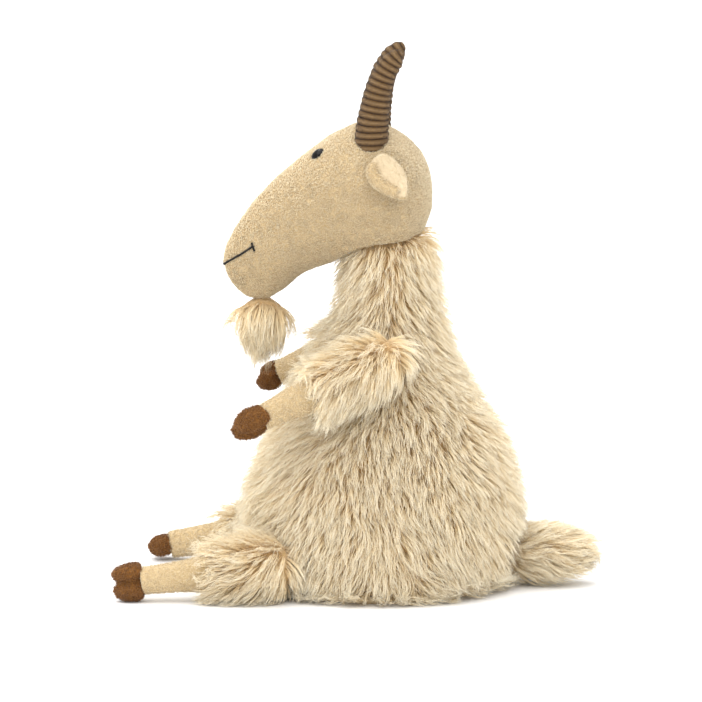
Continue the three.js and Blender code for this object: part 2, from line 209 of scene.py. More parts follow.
def modified(co, faces, kind, **settings):
    """The four-sided mesh that a modifier makes of a surface."""
    helper = mesh_object("helper", co, faces)
    modifier = helper.modifiers.new("modifier", kind)
    for label, value in settings.items():
        setattr(modifier, label, value)
    mesh = evaluated_mesh(helper)
    found = coordinates(mesh), quads(mesh)
    bpy.data.meshes.remove(mesh)
    discard(helper)
    return found


def remeshed(co, tri, voxel):
    """An even four-sided mesh of a closed solid."""
    return main_island(*modified(co, tri, "REMESH", mode="VOXEL", voxel_size=voxel))


def subdivided(co, faces, levels):
    """Catmull-Clark subdivision."""
    return modified(co, faces, "SUBSURF", levels=levels)


def noise_at(co, scale, offset=0.0):
    """Smooth noise from -1 to 1 at each point, with features about scale wide."""
    shift = Vector((offset, -offset, 2 * offset))
    return np.array([noise.noise(Vector(p) / scale + shift) for p in co.tolist()])


def evened(rows, rounds):
    """Rows averaged with their neighbours again and again. The first and the last stay put."""
    rows = rows.copy()
    for _ in range(rounds):
        rows[1:-1] = (rows[:-2] + rows[1:-1] * 2 + rows[2:]) / 4
    return rows


def resampled(line, spacing):
    """A line at even steps of about spacing, and how far along it each point lies."""
    along = np.concatenate([[0], np.cumsum(np.linalg.norm(np.diff(line, axis=0), axis=1))])
    at = np.linspace(0, along[-1], max(12, int(along[-1] / spacing)))
    return np.stack([np.interp(at, along, line[:, k]) for k in range(3)], axis=1), at


def full_turn(count):
    """The angles of count even steps round a circle."""
    return np.arange(count) * 2 * math.pi / count


def hoops(count, one, two):
    """Directions all round each point of a line, from two directions square to it."""
    turn = full_turn(count)[:, None]
    return one[:, None] * np.cos(turn) + two[:, None] * np.sin(turn)


def closed_tube(rings, poles):
    """A tube through rows of points, closed by a fan to a pole at each end."""
    rows, around, _ = rings.shape
    index = np.arange(rows * around).reshape(rows, around)
    beside = np.roll(index, -1, 1)
    sides = np.stack([index[:-1], beside[:-1], beside[1:], index[1:]], axis=-1).reshape(-1, 4)
    first = np.stack([beside[0], index[0], np.full(around, rows * around)], axis=1)
    last = np.stack([index[-1], beside[-1], np.full(around, rows * around + 1)], axis=1)
    faces = np.concatenate([split_quads(sides), first, last])
    return np.concatenate([rings.reshape(-1, 3), poles]), faces


# ------------------------------------------------------------- padded skins

CLOTH_SETTINGS = {
    "use_pressure": True,
    "tension_stiffness": 25.0,
    "compression_stiffness": 25.0,
    "bending_stiffness": 0.8,
    "quality": 4,
}
PUFF_LIMIT = 1.0 * MM

PADDED = {}


def padded_skin(name, nodes, voxel, inset, core=None, axis=None, rounds=3):
    """A sewn, stuffed cover in even quads, inset from the outside of its CAD solids. Flat undersides stay put.
    core is a stuffing node that fills it, kept to the cover's own stretch along axis."""
    co, tri = cad_solid(nodes, SEAM_FUSE)
    if core is not None:
        inner, inner_tri = cad_solid((core,), SEAM_FUSE)
        reach = inner @ axis
        stretch = co @ axis
        inner += np.outer(np.clip(reach, stretch.min() + WELD, stretch.max() - WELD) - reach, axis)
        co, tri = joined([(co, tri), (inner, inner_tri)])
    co, faces = remeshed(co, tri, voxel)
    co = smoothed(co, faces, rounds)
    normals = vertex_normals(co, split_quads(faces))
    push = normals * (inset + SEAM_FUSE)
    push[:, 2] = np.where(normals[:, 2] < FLAT_UNDERSIDE, -SEAM_FUSE * 0.5, push[:, 2])
    PADDED[name] = [co - push, faces]


def inflate(pressure, frames, caps):
    """Blows every padded skin up by cloth simulation. caps says how far a point of each skin may move."""
    helpers = {}
    for name, (co, faces) in PADDED.items():
        helper = mesh_object("cloth_" + name, co, faces)
        settings = helper.modifiers.new("cloth", "CLOTH").settings
        for label, value in CLOTH_SETTINGS.items():
            setattr(settings, label, value)
        settings.uniform_pressure_force = pressure
        settings.effector_weights.gravity = 0.0
        helpers[name] = helper
    for step in range(1, frames + 1):
        bpy.context.scene.frame_set(step)
    for name, helper in helpers.items():
        mesh = evaluated_mesh(helper)
        rest = PADDED[name][0]
        move = coordinates(mesh) - rest
        far = np.linalg.norm(move, axis=1, keepdims=True)
        PADDED[name][0] = rest + move * np.minimum(1, caps.get(name, PUFF_LIMIT) / np.maximum(far, 1e-9))
        bpy.data.meshes.remove(mesh)
    for helper in helpers.values():
        discard(helper)
    bpy.context.scene.frame_set(1)


# ------------------------------------------------------------------ materials


WHITE = (1, 1, 1, 1)


def srgb(colour):
    """A display colour from 0 to 255 as a linear RGBA colour."""
    parts = [c / 255 for c in colour]
    linear = [c / 12.92 if c <= 0.04045 else ((c + 0.055) / 1.055) ** 2.4 for c in parts]
    return (*linear, 1.0)


class Finish:
    """A node material in the making. Its methods add nodes and give back their output sockets."""

    def __init__(self, name):
        self.material = bpy.data.materials.new(name)
        self.material.use_nodes = True
        self.nodes = self.material.node_tree.nodes
        self.links = self.material.node_tree.links
        self.shader = self.nodes["Principled BSDF"]

    def settings(self, values):
        """Gives constants to the shader's inputs."""
        for label, value in values.items():
            self.shader.inputs[label].default_value = value

    def feed(self, label, socket):
        """Drives one of the shader's inputs."""
        self.links.new(socket, self.shader.inputs[label])

    def place(self):
        """The point in the piece's own axes."""
        return self.nodes.new("ShaderNodeTexCoord").outputs["Object"]

    def map_parts(self):
        """U and V of the piece's own map."""
        mapping = self.nodes.new("ShaderNodeUVMap")
        mapping.uv_map = FUR_MAP
        parts = self.nodes.new("ShaderNodeSeparateXYZ")
        self.links.new(mapping.outputs["UV"], parts.inputs["Vector"])
        return parts.outputs["X"], parts.outputs["Y"]

    def maths(self, operation, one, two=None):
        """An operation on a socket and, where it takes two values, a second socket or a number."""
        made = self.nodes.new("ShaderNodeMath")
        made.operation = operation
        self.links.new(one, made.inputs[0])
        if isinstance(two, float):
            made.inputs[1].default_value = two
        elif two is not None:
            self.links.new(two, made.inputs[1])
        return made.outputs[0]

    def ramp(self, value, stops):
        """A colour ramp fed by value, with stops of position and colour."""
        made = self.nodes.new("ShaderNodeValToRGB")
        elements = made.color_ramp.elements
        while len(elements) < len(stops):
            elements.new(0.5)
        for element, (position, colour) in zip(elements, stops):
            element.position = position
            element.color = colour
        self.links.new(value, made.inputs["Fac"])
        return made.outputs["Color"]

    def noise(self, place, width, detail, roughness=0.6):
        """Noise with features about width wide."""
        made = self.nodes.new("ShaderNodeTexNoise")
        made.inputs["Scale"].default_value = 1 / width
        made.inputs["Detail"].default_value = detail
        made.inputs["Roughness"].default_value = roughness
        self.links.new(place, made.inputs["Vector"])
        return made.outputs["Fac"]

    def multiplied(self, one, two):
        """Two colours multiplied."""
        made = self.nodes.new("ShaderNodeMix")
        made.data_type = "RGBA"
        made.blend_type = "MULTIPLY"
        made.inputs[0].default_value = 1.0
        self.links.new(one, made.inputs[6])
        self.links.new(two, made.inputs[7])
        return made.outputs[2]

    def relief(self, height, distance):
        """Small surface relief from a height value."""
        made = self.nodes.new("ShaderNodeBump")
        made.inputs["Strength"].default_value = 1.0
        made.inputs["Distance"].default_value = distance
        self.links.new(height, made.inputs["Height"])
        self.feed("Normal", made.outputs["Normal"])

    def soft(self, roughness, sheen):
        """The constants that cloth and fibre share."""
        self.settings({
            "Roughness": roughness,
            "Specular IOR Level": 0.25,
            "Sheen Weight": sheen,
            "Sheen Roughness": 0.5,
        })


def pile_material(name, dark, middle, light, grain, relief, roughness=0.9, sheen=0.25):
    """Short pile cloth: grain-sized tufts in three tones, over slow changes of shade."""
    made = Finish(name)
    place = made.place()
    tufts = made.noise(place, grain, 4.0, 0.7)
    slow = made.noise(place, grain * 18, 2.0)
    tone = made.ramp(tufts, [(0.25, srgb(dark)), (0.5, srgb(middle)), (0.75, srgb(light))])
    shade = made.ramp(slow, [(0.3, (0.92, 0.91, 0.89, 1)), (0.7, WHITE)])
    made.feed("Base Color", made.multiplied(tone, shade))
    made.relief(made.noise(place, grain * 0.6, 5.0, 0.75), relief)
    made.soft(roughness, sheen)
    return made.material


def fibre_material(name, root, middle, tip, dull, bright, roughness=0.7):
    """Pile fibres, each with its own shade by U. Along V of their map they darken to the root as painted shade
    deep in the pile, and pale to the tip as a painted highlight.
    """
    made = Finish(name)
    own, along = made.map_parts()
    # The darker root colour is painted shade deep in the pile, and the paler tip colour is a painted
    # highlight.
    tone = made.ramp(along, [(0.0, srgb(root)), (0.35, srgb(middle)), (0.9, srgb(tip))])
    shade = made.ramp(own, [(0.0, (*dull, 1)), (0.45, WHITE), (1.0, (*bright, 1))])
    made.feed("Base Color", made.multiplied(tone, shade))
    made.soft(roughness, 0.2)
    return made.material


def corduroy_material(name, wales):
    """Brown corduroy, counted along V of the piece's own map: painted shade in the valleys between wales and a
    painted highlight on their crests.
    """
    made = Finish(name)
    _, along = made.map_parts()
    saw = made.maths("FRACT", made.maths("MULTIPLY", along, wales / MAP_MARGIN))
    # The valley colour is painted shade between the wales, and the crest colour is a painted highlight on
    # their tops.
    painted_valley_shade, flank, painted_crest_highlight = srgb((50, 32, 15)), srgb((104, 78, 48)), srgb((140, 113, 80))
    stops = [(0.0, painted_valley_shade), (0.16, flank), (0.5, painted_crest_highlight), (0.84, flank), (1.0, painted_valley_shade)]
    fuzz = made.noise(made.place(), 0.5 * MM, 4.0, 0.7)
    shade = made.ramp(fuzz, [(0.3, (0.7, 0.69, 0.67, 1)), (0.7, (1.15, 1.15, 1.12, 1))])
    made.feed("Base Color", made.multiplied(made.ramp(saw, stops), shade))
    made.relief(fuzz, 0.2 * MM)
    made.soft(0.95, 0.15)
    return made.material


def gloss_material(name):
    """Black moulded plastic with a clear, polished face."""
    made = Finish(name)
    haze = made.noise(made.place(), 1.5 * MM, 2.0)
    made.feed("Base Color", made.ramp(haze, [(0.3, srgb((8, 6, 5))), (0.7, srgb((16, 12, 10)))]))
    polish = made.ramp(haze, [(0.3, (0.05, 0.05, 0.05, 1)), (0.7, (0.11, 0.11, 0.11, 1))])
    made.feed("Roughness", polish)
    made.settings({"Specular IOR Level": 0.22})
    return made.material


def woven_material(name, dark, light, pitch):
    """Plain weave: two crossing sets of threads."""
    made = Finish(name)
    place = made.place()
    waves = []
    for direction in ("X", "Y"):
        wave = made.nodes.new("ShaderNodeTexWave")
        wave.bands_direction = direction
        wave.inputs["Scale"].default_value = math.pi / (10 * pitch)
        wave.inputs["Distortion"].default_value = 0.6
        wave.inputs["Detail Scale"].default_value = 2.0
        made.links.new(place, wave.inputs["Vector"])
        waves.append(wave.outputs["Fac"])
    cross = made.maths("MULTIPLY", *waves)
    made.feed("Base Color", made.ramp(cross, [(0.0, srgb(dark)), (0.7, srgb(light))]))
    made.relief(cross, 0.15 * MM)
    made.soft(0.9, 0.15)
    return made.material


# Each fibre finish runs from a darker root, which is painted shade deep in the pile, to a paler tip, which is
# a painted highlight.
FUR = fibre_material(
    "fur_fibres", (231, 203, 157), (250, 229, 186), (255, 246, 222), (0.95, 0.88, 0.77), (1.06, 1.05, 1.04)
)
NAP = fibre_material(
    "short_pile_fibres", (190, 162, 118), (222, 201, 162), (243, 231, 203),
    (0.84, 0.79, 0.71), (1.1, 1.1, 1.09), 0.8,
)
HOOF_NAP = fibre_material(
    "hoof_fibres", (82, 46, 14), (122, 76, 28), (166, 116, 56), (0.75, 0.70, 0.64), (1.1, 1.1, 1.08), 0.8
)
HORN_NAP = fibre_material(
    "corduroy_fibres", (46, 28, 12), (98, 70, 38), (150, 120, 80), (0.6, 0.57, 0.54), (1.1, 1.1, 1.1), 0.85
)
BACKING = pile_material(
    "fur_backing", (176, 140, 92), (205, 172, 124), (226, 200, 156), 1.6 * MM, 0.4 * MM
)
PLUSH = pile_material(
    "short_pile_plush", (186, 158, 114), (205, 181, 139), (222, 203, 164), 0.9 * MM, 0.25 * MM
)
HOOF = pile_material(
    "hoof_plush", (88, 54, 18), (126, 82, 34), (162, 114, 56), 0.8 * MM, 0.5 * MM, 0.95, 0.1
)
VELOUR = pile_material(
    "ear_velour", (204, 184, 150), (214, 195, 162), (222, 205, 174), 0.6 * MM, 0.12 * MM
)
WADDING = pile_material(
    "wadding", (214, 212, 206), (232, 230, 226), (246, 245, 242), 2.2 * MM, 0.8 * MM, 0.95, 0.3
)
NYLON = pile_material(
    "washer_nylon", (206, 206, 202), (216, 216, 212), (226, 226, 222), 1.0 * MM, 0.03 * MM, 0.4, 0.0
)
THREAD = pile_material(
    "mouth_thread", (14, 11, 9), (24, 19, 16), (40, 33, 28), 0.25 * MM, 0.06 * MM, 0.7, 0.1
)
WOVEN = woven_material("base_weave", (196, 172, 132), (230, 210, 174), 0.7 * MM)
BEAN_CLOTH = woven_material("bean_bag_weave", (206, 204, 198), (238, 237, 233), 0.5 * MM)
EYE = gloss_material("eye_gloss")


# ----------------------------------------------------------------- pile coats


class Skin:
    """A closed surface with what it takes to grow pile on it."""

    def __init__(self, co, faces):
        self.co = co
        self.faces = faces
        self.tri = split_quads(faces) if faces.shape[1] == 4 else faces
        self.normals = vertex_normals(self.co, self.tri)
        self.face_normals = unit(self.normals[self.tri].sum(1))
        self.ups = [Vector(n) for n in self.face_normals.tolist()]
        self.tree = BVHTree.FromPolygons(self.co.tolist(), self.tri.tolist())
        a, b, c = (self.co[self.tri[:, k]] for k in range(3))
        self.areas = np.linalg.norm(np.cross(b - a, c - a), axis=1) / 2
        self.centres = (a + b + c) / 3

    def scatter(self, count, rng, density=None):
        """count random points with their normals; density weighs each face by its centre and normal."""
        weight = self.areas.copy()
        if density is not None:
            weight = weight * density(self.centres, self.face_normals)
        chosen = np.sort(rng.choice(len(weight), count, p=weight / weight.sum()))
        r = np.sqrt(rng.random((count, 1)))
        s = rng.random((count, 1))
        share = np.concatenate([1 - r, r * (1 - s), r * s], axis=1)[:, :, None]
        corners = self.tri[chosen]
        return (self.co[corners] * share).sum(1), unit((self.normals[corners] * share).sum(1))

    def depth(self, point):
        """Distance from the surface, negative inside, and a large number where it isn't near."""
        near, _, face, far = self.tree.find_nearest(point, NEARBY)
        if near is None:
            return NEARBY
        return far if (point - near).dot(self.ups[face]) > 0 else -far

    def pushed_out(self, point, clearance):
        """The point, or the nearest place that is clearance outside the surface."""
        near, _, face, far = self.tree.find_nearest(point, NEARBY)
        if near is None or (point - near).dot(self.ups[face]) > 0 and far > clearance:
            return point
        return near + self.ups[face] * clearance


def outside(skins, clearance):
    """A density that leaves out faces closer than clearance to any of these skins."""

    def density(centres, normals):
        open_face = np.ones(len(centres))
        for k, place in enumerate(centres.tolist()):
            point = Vector(place)
            if any(skin.depth(point) < clearance for skin in skins):
                open_face[k] = 0
        return open_face

    return density


LOCK_STEPS = 5
LOCK_CLEARANCE = 1.0 * MM
WAVE_SIZE = 0.6 * MM
WAVE_LENGTH = 8 * MM
STRAY_SHARE = 0.24
STRAY_HOLD = 0.15  # how far a stray fibre is drawn in towards its lock
STRAY_FRIZZ = 2.2


def lay_locks(skin, roots, normals, comb, lengths, lift, obstacles, overlaps, tangle):
    """The middle line of each lock: it rises from its root and follows comb over the skin.
    It stops at obstacles and slides over overlaps."""
    steps = LOCK_STEPS
    lines = np.empty((len(roots), steps + 1, 3))
    lines[:, 0] = roots
    swirl = Vector((31.0, 17.0, 5.0))
    for i, (root, normal) in enumerate(zip(roots.tolist(), normals.tolist())):
        point, up = Vector(root), Vector(normal)
        stride = float(lengths[i]) / steps
        stopped = steps
        for k in range(1, steps + 1):
            share = (k - 0.5) / steps
            wander = noise.noise_vector(point / (9 * MM)) + noise.noise_vector(point / (30 * MM) + swirl)
            heading = Vector(comb(point)) + wander * tangle
            along = (heading - up * heading.dot(up)).normalized()
            angle = lift[0] + (lift[1] - lift[0]) * share
            point = point + (along * math.cos(angle) + up * math.sin(angle)) * stride
            near, here, _, _ = skin.tree.find_nearest(point)
            up = (up * 0.5 + here * 0.5).normalized()
            if any(o.depth(point) < LOCK_CLEARANCE for o in obstacles):
                stopped = k - 1
                break
            for other in overlaps:
                point = other.pushed_out(point, LOCK_CLEARANCE)
            lines[i, k] = point
        if stopped < steps:
            reach = np.linspace(0, stopped, steps + 1)
            low = np.minimum(reach.astype(int), max(stopped - 1, 0))
            part = (reach - low)[:, None]
            lines[i] = lines[i, low] * (1 - part) + lines[i, np.minimum(low + 1, stopped)] * part
    return lines


NAP_DISORDER = 0.45


def strand_faces(rings):
    """Triangles of one tapered strand with this many rings and one tip vertex."""
    faces = []
    for ring in range(rings - 1):
        for side in range(STRAND_SIDES):
            a = ring * STRAND_SIDES + side
            b = ring * STRAND_SIDES + (side + 1) % STRAND_SIDES
            faces.append((a, b, b + STRAND_SIDES))
            faces.append((a, b + STRAND_SIDES, a + STRAND_SIDES))
    last = (rings - 1) * STRAND_SIDES
    for side in range(STRAND_SIDES):
        faces.append((last + side, last + (side + 1) % STRAND_SIDES, rings * STRAND_SIDES))
    return np.array(faces)


def strand_pieces(name, points, radii, shade, material, body):
    """Tapered three-sided fibres along points, in as many pieces as the triangle limit asks for."""
    count, size, _ = points.shape
    rings = size - 1
    heading = unit(np.gradient(points, axis=1))
    aside = unit(np.cross(heading, np.array([0.31, 0.52, 0.79])))
    across = np.cross(heading, aside)
    turn = full_turn(STRAND_SIDES)
    offset = (
        aside[:, :rings, None] * np.cos(turn)[:, None] + across[:, :rings, None] * np.sin(turn)[:, None]
    ) * radii[:, :rings, None, None]
    sides = (points[:, :rings, None] + offset).reshape(count, -1, 3)
    co = np.concatenate([sides, points[:, -1:]], axis=1)
    spread = (np.arange(STRAND_SIDES) - 1) * 0.004
    u = np.clip(shade, 0.01, 0.99)[:, None, None] + np.broadcast_to(spread, (count, rings, STRAND_SIDES))
    v = np.broadcast_to(np.linspace(0, 1, size)[None, :rings, None], u.shape)
    hoop_uv = np.stack([u, v], axis=-1).reshape(count, -1, 2)
    tip_uv = np.stack([shade, np.ones(count)], axis=-1)[:, None]
    uv = np.concatenate([hoop_uv, tip_uv], axis=1)
    template = strand_faces(rings)
    per_piece = PIECE_TRIANGLES // len(template)
    chunks = max(1, math.ceil(count / per_piece))
    for part in range(chunks):
        chosen = slice(part * count // chunks, (part + 1) * count // chunks)
        some = co[chosen]
        starts = (np.arange(len(some)) * some.shape[1])[:, None, None]
        faces = (template[None] + starts).reshape(-1, 3)
        corners = uv[chosen].reshape(-1, 2)[faces.ravel()]
        label = name if chunks == 1 else f"{name}_{part + 1}"
        show(label, some.reshape(-1, 3), faces, material, body, uv=corners)


def grow_coat(name, skin, body, seed, locks, per_lock, length, width, comb, lift, clump=0.7,
              frizz=0.75 * MM, tangle=0.55, density=None, obstacles=(), overlaps=(), order=None):
    """Long pile: locks laid over the skin, each a bunch of wavy fibres that draw together at the tip."""
    steps = LOCK_STEPS
    rng = np.random.default_rng(seed)
    roots, normals = skin.scatter(locks, rng, density)
    lengths = length * rng.uniform(0.75, 1.2, locks)
    angles = [math.radians(a) for a in lift]
    lines = lay_locks(skin, roots, normals, comb, lengths, angles, obstacles, overlaps, tangle)
    finder = KDTree(locks)
    for i, root in enumerate(roots.tolist()):
        finder.insert(root, i)
    finder.balance()
    count = locks * per_lock
    starts, up = skin.scatter(count, rng, density)
    owner = np.array([finder.find(p)[1] for p in starts.tolist()])
    share = np.linspace(0, 1, steps + 1)
    reach = rng.uniform(0.72, 1.06, count)
    stray = rng.random(count) < STRAY_SHARE
    at = np.clip(share[None] * np.minimum(reach, 1)[:, None] * steps, 0, steps - 1e-6)
    low = at.astype(int)
    part = (at - low)[:, :, None]
    own = lines[owner]
    rows = np.arange(count)[:, None]
    base = own[rows, low] * (1 - part) + own[rows, low + 1] * part
    hold = np.where(stray, STRAY_HOLD, clump)[:, None] * (share**1.3)[None]
    points = base + (starts - roots[owner])[:, None] * (1 - hold)[:, :, None]
    heading = unit(np.gradient(base, axis=1))
    aside = unit(np.cross(heading, up[:, None]))
    phase = rng.uniform(0, 2 * math.pi, locks)[owner] + rng.normal(0, 0.35, count)
    turns = 2 * math.pi * lengths[owner] / WAVE_LENGTH
    angle = phase[:, None] + turns[:, None] * share[None]
    size = (WAVE_SIZE * rng.uniform(0.5, 1.3, count))[:, None] * (share**0.7)[None]
    points += aside * (np.sin(angle) * size)[:, :, None]
    points += up[:, None] * (np.cos(angle * 0.9) * size * 0.5)[:, :, None]
    loose = rng.normal(0, 1, (count, 3)) * (frizz * np.where(stray, STRAY_FRIZZ, 1.0))[:, None]
    points += loose[:, None] * (share**1.5)[None, :, None]
    low_limit = FLOOR_CLEARANCE + rng.uniform(0, 0.8 * MM, count)[:, None]
    points[:, :, 2] = np.maximum(points[:, :, 2], low_limit)
    taper = (1 - 0.75 * share**1.6)[None] * (width / 2 * rng.uniform(0.7, 1.25, count))[:, None]
    shade = np.clip(rng.random(locks)[owner] * 0.6 + rng.random(count) * 0.4, 0.01, 0.99)
    if order is not None:
        rank = np.argsort(order(starts), kind="stable")
        points, taper, shade = points[rank], taper[rank], shade[rank]
    strand_pieces(name, points, taper, shade, FUR, body)


def grow_nap(name, skin, body, material, seed, count, length, width, comb, lean=0.8,
             curl=0.0, density=None, steps=2):
    """Short pile: single tufts that lean along comb, bent a little, or curled over."""
    rng = np.random.default_rng(seed)
    roots, up = skin.scatter(count, rng, density)
    flow = np.array(comb) + rng.normal(0, NAP_DISORDER, roots.shape)
    along = unit(flow - up * (flow * up).sum(1, keepdims=True))
    twist = np.cross(up, along) * rng.choice([-1, 1], count)[:, None]
    reach = (length * rng.uniform(0.7, 1.25, count))[:, None]
    share = np.linspace(0, 1, steps + 1)
    points = np.empty((count, steps + 1, 3))
    for k, s in enumerate(share):
        bent = along * lean * s + up * (1 - 0.35 * s) + twist * curl * math.sin(math.pi * s)
        points[:, k] = roots - up * 0.1 * MM + reach * s * bent
    if curl:
        points[:, -1] -= along * reach * curl * 0.6
    points[:, :, 2] = np.maximum(points[:, :, 2], FLOOR_CLEARANCE)
    taper = (1 - 0.7 * share)[None] * (width / 2 * rng.uniform(0.75, 1.2, count))[:, None]
    rank = np.argsort(roots[:, 1], kind="stable")
    strand_pieces(name, points[rank], taper[rank], rng.random(count), material, body)


# --------------------------------------------------------------------- skins

TORSO_NODES = ("torso_left_panel", "torso_right_panel", "torso_stuffing")
HEAD_NODES = ("head_gusset", "head_left_panel", "head_right_panel", "head_stuffing")
LONG_PILE_INSET = 2.8 * MM
SLEEVE_PILE_INSET = 2.6 * MM
NAP_INSET = 0.9 * MM

padded_skin("torso", TORSO_NODES, 4.5 * MM, LONG_PILE_INSET)
padded_skin("head", HEAD_NODES, 3.0 * MM, NAP_INSET)
LIMBS = [
    (side, limb, cover, lower)
    for side in SIDES
    for limb, cover, lower in (("arm", "fur_sleeve", "forearm"), ("leg", "fur_thigh", "shin"))
]


def middle(node):
    """Centre of a CAD node's box."""
    low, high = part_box(node)
    return (low + high) / 2


def limb_axis(side, limb):
    """The direction in which a limb points, from its cover to its hoof."""
    cover = "fur_sleeve" if limb == "arm" else "fur_thigh"
    return (middle(f"{side}_{limb}_hoof") - middle(f"{side}_{limb}_{cover}")).normalized()


LIMB_AXES = {(side, limb): np.array(limb_axis(side, limb)) for side, limb, _, _ in LIMBS}
for side, limb, cover, lower in LIMBS:
    stem = f"{side}_{limb}_"
    axis = LIMB_AXES[side, limb]
    padded_skin(stem + cover, (stem + cover,), 2.2 * MM, SLEEVE_PILE_INSET, stem + "stuffing", axis)
    padded_skin(stem + lower, (stem + lower,), 1.6 * MM, NAP_INSET, stem + "stuffing", axis)
    padded_skin(stem + "hoof", (stem + "hoof",), 1.1 * MM, NAP_INSET)
padded_skin("tail", ("tail_fur_cover", "tail_stuffing"), 2.2 * MM, SLEEVE_PILE_INSET)
padded_skin("beard", ("beard",), 1.4 * MM, 1.8 * MM)

inflate(4.0, 20, {"torso": 3.0 * MM, "head": 1.2 * MM})


def finished_skin(name, levels):
    """A padded skin, subdivided."""
    return Skin(*subdivided(*PADDED[name], levels))


def show(name, co, faces, material, body, nodes=(), uv=None):
    """Makes a piece with its material, puts it on its body, and hides the CAD nodes it stands for."""
    piece = mesh_object(name, co, faces, material, uv)
    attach(piece, body)
    if nodes:
        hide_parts(*nodes)


def limb_part(side, limb, part):
    """A limb section's name, skin, body and axis."""
    key = f"{side}_{limb}_{part}"
    return key, LIMB_SKINS[key], f"{side}_{limb}", LIMB_AXES[side, limb]


HEAD_SKIN = finished_skin("head", 2)
TORSO_SKIN = finished_skin("torso", 1)
TAIL_SKIN = finished_skin("tail", 1)
LIMB_SKINS = {}
for side, limb, cover, lower in LIMBS:
    for part in (cover, lower, "hoof"):
        key = f"{side}_{limb}_{part}"
        LIMB_SKINS[key] = finished_skin(key, 1 if part == cover else 2)


# --------------------------------------------------------------------- pieces


BASE_SPREAD = 45.0
SPREAD_BELOW = 50 * MM
SEAT_MIDDLE = 15 * MM
BARE_GAP = 0.5 * MM  # no pile grows nearer to another skin than this


def torso():
    """The fur-covered body."""
    show(
        "torso_backing", TORSO_SKIN.co, TORSO_SKIN.faces, BACKING,
        "torso", TORSO_NODES[:2],
    )
    covers = [LIMB_SKINS[f"{side}_{limb}_{cover}"] for side, limb, cover, _ in LIMBS]
    neighbours = [HEAD_SKIN, TAIL_SKIN]
    bare = outside(neighbours + covers, BARE_GAP)

    def density(centres, normals):
        return bare(centres, normals) * np.where(normals[:, 2] < -0.75, 0.0, 1.0)

    def comb(point):
        spread = BASE_SPREAD * max(0.0, 1 - point.z / SPREAD_BELOW)
        return (point.x * spread, (point.y - SEAT_MIDDLE) * spread, -1.0)

    grow_coat(
        "torso_fur", TORSO_SKIN, "torso", seed=11, locks=12500, per_lock=5,
        length=17 * MM, width=0.36 * MM, comb=comb, lift=(62, 26), density=density,
        obstacles=neighbours, overlaps=covers, order=lambda p: p[:, 2],
    )


MOUTH_DIP = 1.5 * MM


def mouth_line():
    """The mouth's route from corner to corner, from its CAD solid."""
    co = cad_solid(("mouth_thread",))[0]
    corner_y = (co[co[:, 0].argmin(), 1] + co[co[:, 0].argmax(), 1]) / 2
    angle = np.arctan2(co[:, 0], corner_y - co[:, 1])
    place = np.digitize(angle, np.linspace(angle.min(), angle.max(), 48))
    route = np.array([co[place == k].mean(0) for k in np.unique(place)])
    route = route[np.argsort(route[:, 0])]
    route = evened(route, 4)
    route[:, 2] -= MOUTH_DIP * (1 - np.abs(route[:, 0]) / np.abs(route[:, 0]).max())
    return route


CROSS_STITCH = unit(np.array([0.0, -0.4, 0.92])) * 2.7 * MM


def corner_bars(route):
    """The short stitch that crosses each end of the mouth."""
    return [end + np.linspace(-1, 1, 11)[:, None] * CROSS_STITCH for end in (route[0], route[-1])]


STITCH_MARGIN = 1.5 * MM
EYE_MARGIN = 3.3 * MM


def off_features(centres, normals):
    """A density that keeps the head's nap off the eyes and the stitching."""
    free = np.ones(len(centres))
    route = mouth_line()
    for place in np.concatenate([route, *corner_bars(route)]):
        free[np.linalg.norm(centres - place, axis=1) < STITCH_MARGIN] = 0
    for side in SIDES:
        near = HEAD_SKIN.tree.find_nearest(middle(f"eye_{side}"))[0]
        free[np.linalg.norm(centres - np.array(near), axis=1) < EYE_MARGIN] = 0
    return free


def head():
    """The short pile head."""
    co = HEAD_SKIN.co
    grain = 0.22 * MM * noise_at(co, 1.1 * MM) + 0.2 * MM * noise_at(co, 4.0 * MM, 7.0)
    co = co + HEAD_SKIN.normals * grain[:, None]
    show("head_plush", co, HEAD_SKIN.faces, PLUSH, "head", HEAD_NODES[:3])
    grow_nap(
        "head_nap", HEAD_SKIN, "head", NAP, seed=21, count=80000, length=1.6 * MM,
        width=0.46 * MM, comb=(0.0, 0.8, 0.5), lean=0.6, density=off_features,
    )


CAP_FACING = 0.85
LOWER_TUCK = 3.0 * MM  # how far a forearm or shin reaches into its cover
LOWER_REACH = 1.2 * MM  # and into its hoof
HOOF_TUCK = 1.6 * MM
TAIL_TUCK = 4.0 * MM


def uncapped(axis):
    """A density that leaves out the flat far end of a limb section."""

    def density(centres, normals):
        return np.where(normals @ axis > CAP_FACING, 0.0, 1.0)

    return density


def drawn_out(co, axis, back, forth):
    """A section made longer along axis, by back at its near end and by forth at its far end."""
    reach = co @ axis
    share = ((reach - reach.min()) / (reach.max() - reach.min()))[:, None]
    return co + axis * (forth * share - back * (1 - share))


SLEEVE_TURN = 26 * MM  # the pile hangs down at the root and turns towards the hoof over this length
SLEEVE_HANG = {"arm": (0.1, 0.7), "leg": (0.55, 1.0)}


def sleeve(side, limb, cover, seed):
    """The long pile section of an arm or leg."""
    key, skin, body, axis = limb_part(side, limb, cover)
    show(key + "_backing", skin.co, skin.faces, BACKING, body, (key,))
    ends = uncapped(axis)
    bare = outside([TORSO_SKIN], BARE_GAP)
    hang, forward = SLEEVE_HANG[limb]
    start = (skin.co @ axis).min()

    def comb(point):
        share = min(max((float(np.dot(point, axis)) - start) / SLEEVE_TURN, 0.0), 1.0)
        return tuple(axis * forward * share + np.array([0, 0, hang * share - 1.0]))

    grow_coat(
        key + "_fur", skin, body, seed=seed, locks=840, per_lock=6,
        length=17 * MM, width=0.34 * MM, comb=comb, lift=(54, 20),
        density=lambda c, n: ends(c, n) * bare(c, n),
    )


